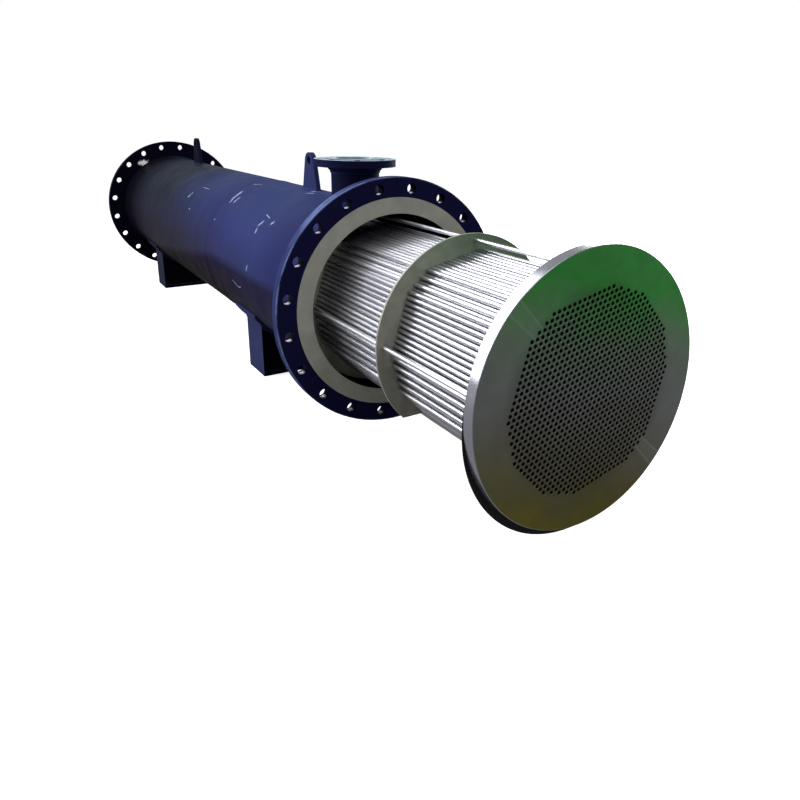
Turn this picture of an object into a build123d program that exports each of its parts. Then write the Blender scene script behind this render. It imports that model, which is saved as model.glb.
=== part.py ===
from build123d import *
from math import atan2, cos, degrees, floor, radians, sin, sqrt
import os

os.makedirs("parts", exist_ok=True)

# Shell and tube heat exchanger with its tube bundle partly drawn out of the shell.
# X runs along the axis towards the drawn-out end, Z is up, and the saddle feet stand on Z = 0.

# Shell barrel
shell_face_to_face_length = 3068.0
shell_bore_diameter = 600.0
shell_wall_thickness = 14.0
floor_clearance = 136.0

# Body flanges, alike at both ends
flange_ring_width = 117.0
flange_thickness = 40.0
flange_bolt_inset = 35.0
flange_bolt_hole_diameter = 33.0
flange_bolt_count = 20
raised_face_height = 4.0
raised_face_land_width = 12.5

# Top nozzle with a welding-neck flange
nozzle_setback = 291.0
nozzle_standout_height = 145.0
nozzle_pipe_diameter = 168.3
nozzle_pipe_wall_thickness = 7.1
nozzle_flange_ring_width = 58.35
nozzle_flange_thickness = 27.0
nozzle_hub_width = 18.0
nozzle_hub_height = 47.0
nozzle_bolt_inset = 22.5
nozzle_bolt_hole_diameter = 22.0
nozzle_bolt_count = 8
nozzle_raised_face_height = 2.0
nozzle_raised_face_land_width = 3.0

# Lifting lugs on the top line of the shell
lug_base_width = 140.0
lug_crown_width = 62.0
lug_height = 146.0
lug_plate_thickness = 18.0
lug_corner_radius = 38.0
lug_eye_diameter = 34.0
lug_eye_drop_height = 31.0
front_lug_setback = 680.0
rear_lug_setback = 700.0

# Saddles: two webs and two side plates on a base plate, under a wear plate
saddle_width = 464.0
saddle_length = 180.0
saddle_plate_thickness = 12.0
saddle_base_thickness = 16.0
front_saddle_setback = 795.0
rear_saddle_setback = 490.0
wear_plate_thickness = 10.0
wear_plate_margin = 30.0
wear_plate_half_angle = 56.0

# Tubesheets
bundle_length = 3048.0
bundle_draw_length = 907.0
tubesheet_inset = 8.0
tubesheet_thickness = 33.0
floating_sheet_clearance = 5.0

# Tube field on a triangular pitch, twelve-sided, with a margin to the baffle's edge on each kind of side
tube_pitch = 15.0
tube_diameter = 12.0
tube_end_setback = 4.0
tube_side_count = 6
field_turn_angle = 12.7
row_side_margin = 57.0
long_row_side_margin = 44.0
pitch_side_margin = 46.0

# Segmental baffles
baffle_count = 5
baffle_clearance = 2.5
baffle_thickness = 8.0
baffle_first_length = 496.0
baffle_spacing_length = 514.5
baffle_cut_depth = 92.5

# Tie rods
rod_diameter = 12.0
rod_inset = 19.5
rod_side_count = 8
rod_turn_angle = 87.0
rod_end_length = 25.0

# Loose gasket that hangs on the top tie rod behind the front tubesheet
gasket_ring_width = 32.0
gasket_thickness = 3.0

# Clearances
weld_gap = 0.3
seat_gap = 0.5
rod_gap = 0.3
tube_gap = 0.3
window_gap = 0.4
gasket_gap = 0.6
cut_overrun_length = 20.0

# Derived sizes
shell_radius = shell_bore_diameter / 2 + shell_wall_thickness
axis_height = floor_clearance + shell_radius
flange_diameter = shell_bore_diameter + 2 * flange_ring_width
flange_bolt_circle_radius = flange_diameter / 2 - flange_bolt_inset
raised_face_radius = flange_bolt_circle_radius - flange_bolt_hole_diameter / 2 - raised_face_land_width
nozzle_bore_diameter = nozzle_pipe_diameter - 2 * nozzle_pipe_wall_thickness
nozzle_flange_radius = nozzle_pipe_diameter / 2 + nozzle_flange_ring_width
nozzle_bolt_circle_radius = nozzle_flange_radius - nozzle_bolt_inset
nozzle_raised_face_radius = (
    nozzle_bolt_circle_radius - nozzle_bolt_hole_diameter / 2 - nozzle_raised_face_land_width
)
wear_radius = shell_radius + weld_gap + wear_plate_thickness
seat_radius = wear_radius + weld_gap
baffle_radius = shell_bore_diameter / 2 - baffle_clearance
floating_sheet_radius = shell_bore_diameter / 2 - floating_sheet_clearance
bundle_height = axis_height - baffle_clearance + seat_gap
tubesheet_radius = raised_face_radius - tubesheet_inset
baffle_cut_height = baffle_radius - baffle_cut_depth
rod_circle_radius = baffle_radius - rod_inset
gasket_bore_radius = tubesheet_radius - gasket_ring_width

# Places along the axis
overall_length = shell_face_to_face_length + bundle_draw_length
sheet_face_x = overall_length / 2
front_face_x = sheet_face_x - bundle_draw_length
rear_face_x = -overall_length / 2
nozzle_x = front_face_x - nozzle_setback
sheet_back_x = sheet_face_x - tubesheet_thickness
floating_face_x = sheet_face_x - bundle_length
tube_start_x = floating_face_x + tubesheet_thickness
last_baffle_x = sheet_face_x - baffle_first_length - (baffle_count - 1) * baffle_spacing_length


def cross_section(x, height):
    """A plane square to the axis: its own x is +Y, its own y is +Z, and it faces +X."""
    return Plane(origin=(x, 0, height), x_dir=(0, 1, 0), z_dir=(1, 0, 0))


def save(piece, label):
    """Label a finished piece and write it to its own file."""
    piece.part.label = label
    export_step(piece.part, f"parts/{label}.step")


# Shell barrel with the opening under the nozzle
barrel_length = shell_face_to_face_length - 2 * flange_thickness
with BuildPart() as shell_barrel:
    with BuildSketch(cross_section(rear_face_x + flange_thickness, axis_height)):
        Circle(shell_radius)
        Circle(shell_bore_diameter / 2, mode=Mode.SUBTRACT)
    extrude(amount=barrel_length)
    with BuildSketch(Plane.XY.offset(axis_height)):
        with Locations((nozzle_x, 0)):
            Circle(nozzle_bore_diameter / 2)
    extrude(amount=shell_radius + cut_overrun_length, mode=Mode.SUBTRACT)
save(shell_barrel, "shell_barrel")

# Body flanges: a drilled ring with a raised face, bolt holes straddling the centreline
for flange_label, face_x, outward in (
    ("front_flange", front_face_x, 1),
    ("rear_flange", rear_face_x, -1),
):
    with BuildPart() as flange:
        with BuildSketch(cross_section(face_x - outward * flange_thickness, axis_height)):
            Circle(flange_diameter / 2)
            Circle(shell_bore_diameter / 2, mode=Mode.SUBTRACT)
            with PolarLocations(flange_bolt_circle_radius, flange_bolt_count, 180 / flange_bolt_count):
                Circle(flange_bolt_hole_diameter / 2, mode=Mode.SUBTRACT)
        extrude(amount=outward * (flange_thickness - raised_face_height))
        with BuildSketch(cross_section(face_x - outward * raised_face_height, axis_height)):
            Circle(raised_face_radius)
            Circle(shell_bore_diameter / 2, mode=Mode.SUBTRACT)
        extrude(amount=outward * raised_face_height)
    save(flange, flange_label)

# Nozzle neck, shaped to the barrel at its foot
nozzle_face_z = axis_height + shell_radius + nozzle_standout_height
hub_foot_z = nozzle_face_z - nozzle_hub_height
with BuildPart() as nozzle_neck:
    with BuildSketch(Plane.XY.offset(axis_height)):
        with Locations((nozzle_x, 0)):
            Circle(nozzle_pipe_diameter / 2)
            Circle(nozzle_bore_diameter / 2, mode=Mode.SUBTRACT)
    extrude(amount=hub_foot_z - axis_height)
    with BuildSketch(cross_section(nozzle_x - nozzle_pipe_diameter, axis_height)):
        Circle(shell_radius + weld_gap)
    extrude(amount=2 * nozzle_pipe_diameter, mode=Mode.SUBTRACT)
save(nozzle_neck, "nozzle_neck")

# Nozzle flange: tapered hub, drilled ring and raised face, turned about the nozzle axis
flange_back_z = nozzle_face_z - nozzle_flange_thickness
ring_face_z = nozzle_face_z - nozzle_raised_face_height
nozzle_plane = Plane(origin=(nozzle_x, 0, 0), x_dir=(1, 0, 0), z_dir=(0, -1, 0))
with BuildPart() as nozzle_flange:
    with BuildSketch(nozzle_plane):
        with BuildLine():
            Polyline(
                (nozzle_bore_diameter / 2, hub_foot_z),
                (nozzle_pipe_diameter / 2, hub_foot_z),
                (nozzle_pipe_diameter / 2 + nozzle_hub_width, flange_back_z),
                (nozzle_flange_radius, flange_back_z),
                (nozzle_flange_radius, ring_face_z),
                (nozzle_raised_face_radius, ring_face_z),
                (nozzle_raised_face_radius, nozzle_face_z),
                (nozzle_bore_diameter / 2, nozzle_face_z),
                close=True,
            )
        make_face()
    revolve(axis=Axis((nozzle_x, 0, 0), (0, 0, 1)))
    with BuildSketch(Plane.XY.offset(flange_back_z)):
        with Locations((nozzle_x, 0)):
            with PolarLocations(nozzle_bolt_circle_radius, nozzle_bolt_count, 180 / nozzle_bolt_count):
                Circle(nozzle_bolt_hole_diameter / 2)
    extrude(amount=nozzle_flange_thickness, mode=Mode.SUBTRACT)
save(nozzle_flange, "nozzle_flange")

# Lifting lugs: tapered plates with rounded crowns, standing along the top line
for lug_label, lug_x in (
    ("front_lifting_lug", front_face_x - front_lug_setback),
    ("rear_lifting_lug", rear_face_x + rear_lug_setback),
):
    lug_foot = (lug_x, 0, axis_height + shell_radius)
    with BuildPart() as lifting_lug:
        with BuildSketch(Plane(origin=lug_foot, x_dir=(1, 0, 0), z_dir=(0, -1, 0))) as lug_outline:
            with BuildLine():
                Polyline(
                    (-lug_base_width / 2, 0),
                    (lug_base_width / 2, 0),
                    (lug_crown_width / 2, lug_height),
                    (-lug_crown_width / 2, lug_height),
                    close=True,
                )
            make_face()
            fillet(lug_outline.vertices().group_by(Axis.Y)[-1], lug_corner_radius)
            with Locations((0, lug_height - lug_eye_drop_height)):
                Circle(lug_eye_diameter / 2, mode=Mode.SUBTRACT)
        extrude(amount=lug_plate_thickness / 2, both=True)
    save(lifting_lug, lug_label)

# Saddles
for saddle_label, saddle_x in (
    ("front_saddle", front_face_x - front_saddle_setback),
    ("rear_saddle", rear_face_x + rear_saddle_setback),
):
    saddle_back_x = saddle_x - saddle_length / 2
    rise = axis_height - saddle_base_thickness

    with BuildPart() as wear_plate:
        with BuildSketch(cross_section(saddle_back_x - wear_plate_margin, axis_height)):
            with BuildLine():
                wrap_start = 270 - wear_plate_half_angle
                inner_arc = CenterArc((0, 0), shell_radius + weld_gap, wrap_start, 2 * wear_plate_half_angle)
                outer_arc = CenterArc((0, 0), wear_radius, wrap_start, 2 * wear_plate_half_angle)
                Line(inner_arc @ 0, outer_arc @ 0)
                Line(inner_arc @ 1, outer_arc @ 1)
            make_face()
        extrude(amount=saddle_length + 2 * wear_plate_margin)
    save(wear_plate, f"{saddle_label}_wear_plate")

    with BuildPart() as webs:
        for web_x in (saddle_back_x, saddle_x + saddle_length / 2 - saddle_plate_thickness):
            with BuildSketch(cross_section(web_x, axis_height)):
                Rectangle(saddle_width, rise, align=(Align.CENTER, Align.MAX))
                Circle(seat_radius, mode=Mode.SUBTRACT)
            extrude(amount=saddle_plate_thickness)
    save(webs, f"{saddle_label}_webs")

    with BuildPart() as side_plates:
        with BuildSketch(Plane.XY.offset(saddle_base_thickness)):
            with Locations((saddle_x, 0)):
                with GridLocations(0, saddle_width - saddle_plate_thickness, 1, 2):
                    Rectangle(saddle_length - 2 * saddle_plate_thickness, saddle_plate_thickness)
        extrude(amount=rise)
        with BuildSketch(cross_section(saddle_back_x, axis_height)):
            Circle(seat_radius)
        extrude(amount=saddle_length, mode=Mode.SUBTRACT)
    save(side_plates, f"{saddle_label}_side_plates")

    with BuildPart() as base_plate:
        with BuildSketch(Plane.XY):
            with Locations((saddle_x, 0)):
                Rectangle(saddle_length, saddle_width)
        extrude(amount=saddle_base_thickness)
    save(base_plate, f"{saddle_label}_base_plate")

# Tube field: a place is counted in pitches along two row directions, 60 degrees apart,
# and the field reaches a whole number of rows, or of half pitches, to each side of its middle
row_step = tube_pitch * sqrt(3) / 2
half_pitch = tube_pitch / 2
row_count = floor((baffle_radius - row_side_margin) / row_step)
long_row_count = floor((baffle_radius - long_row_side_margin) / row_step)
half_pitch_count = floor((baffle_radius - pitch_side_margin) / half_pitch)


def in_field(u, v):
    """True where the field has a tube."""
    in_rows = abs(u) <= row_count and abs(v) <= row_count and abs(u + v) <= long_row_count
    return in_rows and all(abs(steps) <= half_pitch_count for steps in (2 * u + v, 2 * v + u, u - v))


# The outermost ring of tubes: places that lack at least one of their six neighbours
field_turn = radians(field_turn_angle)
neighbour_steps = ((1, 0), (0, 1), (-1, 1), (-1, 0), (0, -1), (1, -1))
row_range = range(-long_row_count, long_row_count + 1)
ring_places = []
for u in row_range:
    for v in row_range:
        if in_field(u, v) and not all(in_field(u + du, v + dv) for du, dv in neighbour_steps):
            along = (u + v / 2) * tube_pitch
            across = v * row_step
            place_y = along * cos(field_turn) - across * sin(field_turn)
            place_z = along * sin(field_turn) + across * cos(field_turn)
            ring_places.append((place_y, place_z))

# Front tubesheet, drilled for the ring of tubes
with BuildPart() as front_tubesheet:
    with BuildSketch(cross_section(sheet_back_x, bundle_height)):
        Circle(tubesheet_radius)
        with Locations(*ring_places):
            RegularPolygon(
                tube_diameter / 2 + tube_gap, tube_side_count, rotation=field_turn_angle, mode=Mode.SUBTRACT
            )
    extrude(amount=tubesheet_thickness)
save(front_tubesheet, "front_tubesheet")

# Rear tubesheet, small enough to pass through the shell
with BuildPart() as rear_tubesheet:
    with BuildSketch(cross_section(floating_face_x, bundle_height)):
        Circle(floating_sheet_radius)
    extrude(amount=tubesheet_thickness)
save(rear_tubesheet, "rear_tubesheet")

# Tubes of the ring, in six groups around the axis, each from the rear sheet into its hole in the front one
tube_length = sheet_face_x - tube_end_setback - tube_start_x
tube_names = (
    "tubes_upper_right",
    "tubes_top",
    "tubes_upper_left",
    "tubes_lower_left",
    "tubes_bottom",
    "tubes_lower_right",
)
sector_angle = 360 / len(tube_names)
for sector_index, tube_label in enumerate(tube_names):
    sector_places = [
        place for place in ring_places
        if degrees(atan2(place[1], place[0])) % 360 // sector_angle == sector_index
    ]
    with BuildPart() as tubes:
        with BuildSketch(cross_section(tube_start_x, bundle_height)):
            with Locations(*sector_places):
                RegularPolygon(tube_diameter / 2, tube_side_count, rotation=field_turn_angle)
        extrude(amount=tube_length)
    save(tubes, tube_label)

# Tie rods on a circle outside the tube field, from the front tubesheet past the last baffle
rod_names = ("tie_rod_top", "tie_rod_left", "tie_rod_bottom", "tie_rod_right")
rod_length = sheet_back_x - last_baffle_x + baffle_thickness + rod_end_length
for rod_index, rod_label in enumerate(rod_names):
    rod_angle = rod_turn_angle + rod_index * 360 / len(rod_names)
    with BuildPart() as tie_rod:
        with BuildSketch(cross_section(sheet_back_x - rod_length, bundle_height)):
            with PolarLocations(rod_circle_radius, 1, rod_angle):
                RegularPolygon(rod_diameter / 2, rod_side_count)
        extrude(amount=rod_length)
    save(tie_rod, rod_label)

# Corners of the twelve-sided window that the tube field fills: each edge lies past its outermost tubes
flat_reach = half_pitch_count * half_pitch
edge_reaches = (
    flat_reach,
    long_row_count * row_step,
    flat_reach,
    row_count * row_step,
    flat_reach,
    row_count * row_step,
) * 2
edge_step = radians(360 / len(edge_reaches))
window_edges = [reach + tube_diameter / 2 + window_gap for reach in edge_reaches]
window_corners = []
for edge, reach in enumerate(window_edges):
    next_reach = window_edges[(edge + 1) % len(window_edges)]
    angle = edge * edge_step
    next_angle = angle + edge_step
    corner_along = (reach * sin(next_angle) - next_reach * sin(angle)) / sin(edge_step)
    corner_across = (next_reach * cos(angle) - reach * cos(next_angle)) / sin(edge_step)
    window_corners.append((corner_along, corner_across))

# Segmental baffles, cut at the bottom and at the top in turn
for baffle_index in range(baffle_count):
    baffle_x = sheet_face_x - baffle_first_length - baffle_index * baffle_spacing_length - baffle_thickness
    cut_side = -1 if baffle_index % 2 == 0 else 1
    with BuildPart() as baffle:
        with BuildSketch(cross_section(baffle_x, bundle_height)):
            Circle(baffle_radius)
            with Locations(Location((0, 0), field_turn_angle)):
                Polygon(*window_corners, align=None, mode=Mode.SUBTRACT)
            with PolarLocations(rod_circle_radius, len(rod_names), rod_turn_angle):
                RegularPolygon(rod_diameter / 2 + rod_gap, rod_side_count, mode=Mode.SUBTRACT)
            with Locations((0, cut_side * (baffle_cut_height + baffle_radius))):
                Rectangle(2 * baffle_radius, 2 * baffle_radius, mode=Mode.SUBTRACT)
        extrude(amount=baffle_thickness)
    save(baffle, f"baffle_{baffle_index + 1}")

# Gasket hanging on the top tie rod
rod_y = rod_circle_radius * cos(radians(rod_turn_angle))
rod_z = rod_circle_radius * sin(radians(rod_turn_angle))
hang_reach = gasket_bore_radius - rod_diameter / 2 - seat_gap
gasket_height = bundle_height + rod_z - sqrt(hang_reach**2 - rod_y**2)
with BuildPart() as gasket:
    with BuildSketch(cross_section(sheet_back_x - gasket_gap - gasket_thickness, gasket_height)):
        Circle(tubesheet_radius)
        Circle(gasket_bore_radius, mode=Mode.SUBTRACT)
    extrude(amount=gasket_thickness)
save(gasket, "gasket_ring")
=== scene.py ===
import math
import random

import bmesh
import bpy
import numpy as np
from mathutils import Matrix, Vector
from mathutils.geometry import delaunay_2d_cdt


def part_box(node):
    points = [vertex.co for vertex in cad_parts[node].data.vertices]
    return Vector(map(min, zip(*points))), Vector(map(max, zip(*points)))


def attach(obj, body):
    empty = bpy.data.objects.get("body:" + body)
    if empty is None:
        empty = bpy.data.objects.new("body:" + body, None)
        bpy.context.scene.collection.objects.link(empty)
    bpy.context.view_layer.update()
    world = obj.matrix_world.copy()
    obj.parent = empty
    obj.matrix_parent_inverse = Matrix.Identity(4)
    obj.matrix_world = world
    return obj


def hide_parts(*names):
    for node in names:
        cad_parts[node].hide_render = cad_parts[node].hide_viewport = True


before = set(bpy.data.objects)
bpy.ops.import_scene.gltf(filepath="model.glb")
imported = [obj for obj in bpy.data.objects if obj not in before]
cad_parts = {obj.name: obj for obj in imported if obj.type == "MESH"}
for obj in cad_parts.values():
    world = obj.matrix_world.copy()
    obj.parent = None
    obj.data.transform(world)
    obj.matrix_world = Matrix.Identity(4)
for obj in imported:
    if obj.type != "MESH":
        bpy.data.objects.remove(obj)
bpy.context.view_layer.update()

# Camera: the photograph's frame, focal length and principal point in pixels, then place and directions
IMAGE_SIZE = 800
FOCAL_PIXELS = 678.62
PRINCIPAL_X = 450.18
PRINCIPAL_Y = 325.06
SENSOR_WIDTH = 36.0
CAMERA_PLACE = Vector((2.9965, -1.0994, 1.0431))
CAMERA_AHEAD = Vector((-0.78849, 0.54281, -0.28922))
CAMERA_RIGHT = Vector((0.56189, 0.82697, 0.02018))

# Places read from the frame
SHEET_LOW, SHEET_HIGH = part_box("front_tubesheet")
REAR_SHEET_LOW, REAR_SHEET_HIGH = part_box("rear_tubesheet")
BARREL_LOW, BARREL_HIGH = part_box("shell_barrel")
FRONT_FLANGE_LOW, FRONT_FLANGE_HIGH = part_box("front_flange")
REAR_FLANGE_LOW, REAR_FLANGE_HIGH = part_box("rear_flange")
NECK_LOW, NECK_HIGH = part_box("nozzle_neck")
_, NOZZLE_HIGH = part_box("nozzle_flange")
AXIS_Z = (BARREL_LOW.z + BARREL_HIGH.z) / 2
BARREL_RADIUS = (BARREL_HIGH.y - BARREL_LOW.y) / 2
FLANGE_RADIUS = (FRONT_FLANGE_HIGH.y - FRONT_FLANGE_LOW.y) / 2
BUNDLE_Z = (SHEET_LOW.z + SHEET_HIGH.z) / 2
SHEET_RADIUS = (SHEET_HIGH.y - SHEET_LOW.y) / 2
NOZZLE_X = (NECK_LOW.x + NECK_HIGH.x) / 2
MOUTH_X = FRONT_FLANGE_HIGH.x
FIRST_BAFFLE_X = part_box("baffle_1")[0].x
NECK_RADIUS = (NECK_HIGH.x - NECK_LOW.x) / 2
NECK_WALL = 0.0071
NOZZLE_BORE = NECK_RADIUS - NECK_WALL

# Body flange details
BORE_RADIUS = 0.300
RAISED_FACE_RADIUS = 0.353
BOLT_CIRCLE_RADIUS = 0.382
BOLT_HOLE_RADIUS = 0.0165
BOLT_COUNT = 20

# Tube field on a triangular pitch, as in the solids
TUBE_PITCH = 0.015
TUBE_RADIUS = 0.006
TUBE_WALL = 0.001
TUBE_END_SETBACK = 0.0002
FIELD_TURN = math.radians(12.7)
ROW_STEP = TUBE_PITCH * math.sqrt(3) / 2
ROW_COUNT = 18
LONG_ROW_COUNT = 19
HALF_PITCH_COUNT = 33
FIELD_RADIUS = ROW_COUNT * TUBE_PITCH
SECTOR_NAMES = ("upper_right", "top", "upper_left", "lower_left", "bottom", "lower_right")
TUBE_SIDES = 16
TUBE_FINISHES = (0, 1, 2, 1)

# Drilled plates
SHEET_HOLE_SIDES = 18
BAFFLE_HOLE_SIDES = 12
ROD_HOLE_SIDES = 18
RIM_SIDES = 144
SHEET_HOLE_GAP = 0.00008
SHEET_HOLE_CHAMFER = 0.0004
SHEET_RIM_CHAMFER = 0.0015
BAFFLE_HOLE_GAP = 0.0004
BAFFLE_RIM_CHAMFER = 0.0006
ROD_HOLE_GAP = 0.0003
BAFFLE_COUNT = 5

# Tie rods and their nuts
ROD_NAMES = ("tie_rod_top", "tie_rod_left", "tie_rod_bottom", "tie_rod_right")
ROD_SIDES = 24
ROD_CHAMFER = 0.001
NUT_WIDTH = 0.019
NUT_HEIGHT = 0.010

# White surroundings: how strongly they light rough and mirror-like surfaces
WORLD_SPREAD = 0.25
WORLD_MIRRORED = 0.5

# Weld beads
BEAD_STEP = 0.0025
BEAD_SIDES = 6
RIPPLE_LENGTH = 0.0065
RIPPLE_SHARE = 0.10
COURSE_WELD_X = -0.075
WELD_STANDOFF = 0.002
COURSE_WELD_SINK = 0.005
FLANGE_WELD_RADIUS = 0.007
COURSE_WELD_RADIUS = 0.0065
NECK_WELD_RADIUS = 0.0035
PLATE_WELD_RADIUS = 0.005
FOOT_WELD_RADIUS = 0.004

# Softened edges of the CAD pieces
FLANGE_BEVEL = 0.0012
LUG_BEVEL = 0.0015
PLATE_BEVEL = 0.001
GASKET_BEVEL = 0.0005

FLOOR_HALF_WIDTH = 30.0

# Spacing of turned grooves, and tones of the tie rods and nuts among the tubes
LAND_GROOVE = 0.0016
NOZZLE_GROOVE = 0.0012
SHEET_GROOVE = 0.0022
ROD_TONE = 0.9
NUT_TONE = 0.5

# Specular level of the paint
PAINT_GLOSS = 0.008

# Scratches on the barrel's near flank, from end to end: place along X, degrees above the level of the axis,
# then half the width
SCRATCHES = (
    (0.00, 47, -0.01, 56, 0.010),
    (-0.01, 51, -0.01, 62, 0.013),
    (0.04, 48, 0.05, 55, 0.008),
    (0.45, 37, 0.48, 43, 0.007),
    (0.45, 48, 0.51, 46, 0.003),
    (0.55, 42, 0.57, 45, 0.008),
    (-0.59, 38, -0.57, 45, 0.008),
    (-0.51, 53, -0.39, 53, 0.002),
    (0.29, -8, 0.35, -11, 0.003),
    (0.35, -11, 0.39, -10, 0.003),
    (0.47, 32, 0.46, 37, 0.006),
    (0.48, 5, 0.49, 10, 0.005),
    (-0.06, 73, 0.04, 76, 0.002),
    (-0.47, 30, -0.45, 29, 0.003),
    (-0.05, 30, -0.03, 30, 0.003),
    (0.46, 84, 0.48, 91, 0.012),
    (0.47, 80, 0.52, 83, 0.006),
)
# A painted highlight, a pale spot on the inner face of the rear flange: its place in Y and Z from the axis,
# and its size
PALE_HIGHLIGHT_SPOT = (-0.175, 0.280)
PALE_HIGHLIGHT_RADIUS = 0.042
PALE_HIGHLIGHT_FLATNESS = 1.5

# Painted highlight, streaked, on the front flange's rim: its direction from +Y towards +Z, and half its
# spread
RIM_HIGHLIGHT_ANGLE = math.radians(128)
RIM_HIGHLIGHT_SPREAD = math.radians(22)

# Painted sheen of the turned tubesheet, a pale sector: its direction from +Y towards +Z, and half its
# spread
SHEEN_ANGLE = math.radians(136.3)
SHEEN_HALF_ANGLE = math.radians(3.2)

POINT_FIXED, POINT_HOLE, POINT_ROD, POINT_RIM = range(4)


def srgb(red, green, blue):
    """A colour given as display values from 0 to 255, as linear RGBA."""
    shares = [value / 255 for value in (red, green, blue)]
    linear = [s / 12.92 if s <= 0.04045 else ((s + 0.055) / 1.055) ** 2.4 for s in shares]
    return (*linear, 1.0)


class Finish:
    """A procedural material: one Principled shader, and short ways to add nodes to it."""

    def __init__(self, name, **constants):
        self.material = bpy.data.materials.new(name)
        self.material.use_nodes = True
        self.tree = self.material.node_tree
        self.shader = self.tree.nodes["Principled BSDF"]
        for socket, value in constants.items():
            self.shader.inputs[socket.replace("_", " ")].default_value = value
        self.place = self.add("ShaderNodeTexCoord").outputs["Object"]
        normal = self.add("ShaderNodeNewGeometry").outputs["Normal"]
        self.normal_x, self.normal_y, self.normal_z = self.parts(normal)

    def add(self, kind, inputs=(), **settings):
        node = self.tree.nodes.new(kind)
        for name, value in settings.items():
            setattr(node, name, value)
        for socket, value in inputs:
            self.feed(node.inputs[socket], value)
        return node

    def feed(self, socket, value):
        if isinstance(value, bpy.types.NodeSocket):
            self.tree.links.new(value, socket)
        else:
            socket.default_value = value

    def set(self, socket, value):
        self.feed(self.shader.inputs[socket], value)

    def parts(self, vector):
        node = self.add("ShaderNodeSeparateXYZ", [("Vector", vector)])
        return node.outputs["X"], node.outputs["Y"], node.outputs["Z"]

    def calc(self, operation, first, second=0.0):
        node = self.add("ShaderNodeMath", [(0, first), (1, second)], operation=operation)
        return node.outputs[0]

    def times(self, first, second):
        return self.calc("MULTIPLY", first, second)

    def plus(self, first, second):
        return self.calc("ADD", first, second)

    def minus(self, first, second):
        return self.calc("SUBTRACT", first, second)

    def remap(self, value, low, high, to_low=0.0, to_high=1.0):
        inputs = [("Value", value), ("From Min", low), ("From Max", high)]
        inputs += [("To Min", to_low), ("To Max", to_high)]
        return self.add("ShaderNodeMapRange", inputs, clamp=True).outputs["Result"]

    def shift(self, move, scale=(1, 1, 1), turn=(0, 0, 0)):
        inputs = [("Vector", self.place), ("Location", move), ("Scale", scale), ("Rotation", turn)]
        return self.add("ShaderNodeMapping", inputs).outputs["Vector"]

    def noise(self, scale, detail=3.0, stretch=(1, 1, 1), roughness=0.55):
        inputs = [("Vector", self.shift((0, 0, 0), stretch)), ("Scale", scale)]
        inputs += [("Detail", detail), ("Roughness", roughness)]
        return self.add("ShaderNodeTexNoise", inputs).outputs["Fac"]

    def ramp(self, value, stops):
        node = self.add("ShaderNodeValToRGB", [("Fac", value)])
        elements = node.color_ramp.elements
        for place, colour in stops[2:]:
            elements.new(place)
        for element, (place, colour) in zip(elements, stops):
            element.position = place
            element.color = colour
        return node.outputs["Color"]

    def mottle(self, grain, dark, pale):
        """Two tones in the patches of a noise."""
        return self.ramp(grain, [(0.3, dark), (0.7, pale)])

    def mix(self, share, first, second):
        inputs = [(0, share), (6, first), (7, second)]
        return self.add("ShaderNodeMix", inputs, data_type="RGBA").outputs[2]

    def bump(self, height, distance, strength=1.0, below=None):
        inputs = [("Height", height), ("Distance", distance), ("Strength", strength)]
        if below is not None:
            inputs.append(("Normal", below))
        return self.add("ShaderNodeBump", inputs).outputs["Normal"]

    def reach(self, first, second):
        """Distance from the origin of two offsets."""
        return self.calc("SQRT", self.plus(self.times(first, first), self.times(second, second)))


# Navy of painted shade, for parts painted darker where shade falls on them.
PAINTED_SHADE_NAVY = srgb(10, 8, 24)


def navy_coat(name):
    """A finish of sprayed navy paint: cloudy and scuffed, with dust on top. Painted reflections turn it
    grey towards the far end, most on the near side, greyer on the flanks away from the front, and darker
    and greener on the tops away from the far end; the dust also carries a painted sheen.
    """
    finish = Finish(name, Specular_IOR_Level=PAINT_GLOSS)
    x, y, z = finish.parts(finish.place)
    cloud = finish.noise(1.7, 1.0)
    tone = finish.mix(finish.remap(cloud, 0.35, 0.68), srgb(40, 44, 90), srgb(47, 56, 102))
    # Painted reflection: the paint turns grey towards the far end, most on the near side.
    wander = finish.remap(finish.noise(2.3, 1.0), 0.3, 0.7, -0.15, 0.15)
    near_side = finish.remap(finish.normal_y, 0.5, -0.1, 0.45, 0.9)
    far_grey_reflection = finish.times(finish.remap(finish.plus(x, wander), 0.05, -0.90), near_side)
    tone = finish.mix(far_grey_reflection, tone, srgb(27, 30, 35))
    # Painted reflection: greyer on the flanks, away from the front.
    greyer = finish.times(finish.remap(finish.normal_z, 0.45, 0.05), finish.remap(x, 0.75, 0.2))
    tone = finish.mix(finish.times(greyer, 0.5), tone, srgb(46, 48, 74))
    # Painted reflection: darker and greener on the tops, away from the far end.
    upper = finish.times(finish.remap(finish.normal_z, 0.5, 0.95), finish.remap(x, -0.9, -0.2))
    tone = finish.mix(finish.times(upper, 0.45), tone, srgb(33, 43, 78))
    # Dust on upward faces, which also stands in as a painted sheen on the tops.
    dust_and_sheen_patches = finish.remap(finish.noise(5.0, 1.0), 0.3, 0.7)
    dust_and_sheen = finish.times(finish.remap(finish.normal_z, 0.3, 1.0), dust_and_sheen_patches)
    tone = finish.mix(finish.times(dust_and_sheen, 0.15), tone, srgb(74, 84, 84))
    patches = finish.remap(finish.noise(3.1, 2.0), 0.60, 0.70)
    streaks = finish.remap(finish.noise(26.0, 6.0, (0.5, 1.6, 1.6), 0.75), 0.66, 0.72)
    scuffs = finish.times(patches, streaks)
    tone = finish.mix(finish.times(scuffs, 0.3), tone, srgb(130, 138, 180))
    roughness = finish.remap(finish.noise(11.0, 4.0), 0.3, 0.7, 0.40, 0.55)
    peel = finish.bump(finish.noise(220.0, 2.0), 0.0004, 0.06)
    return finish, tone, roughness, peel


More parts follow.
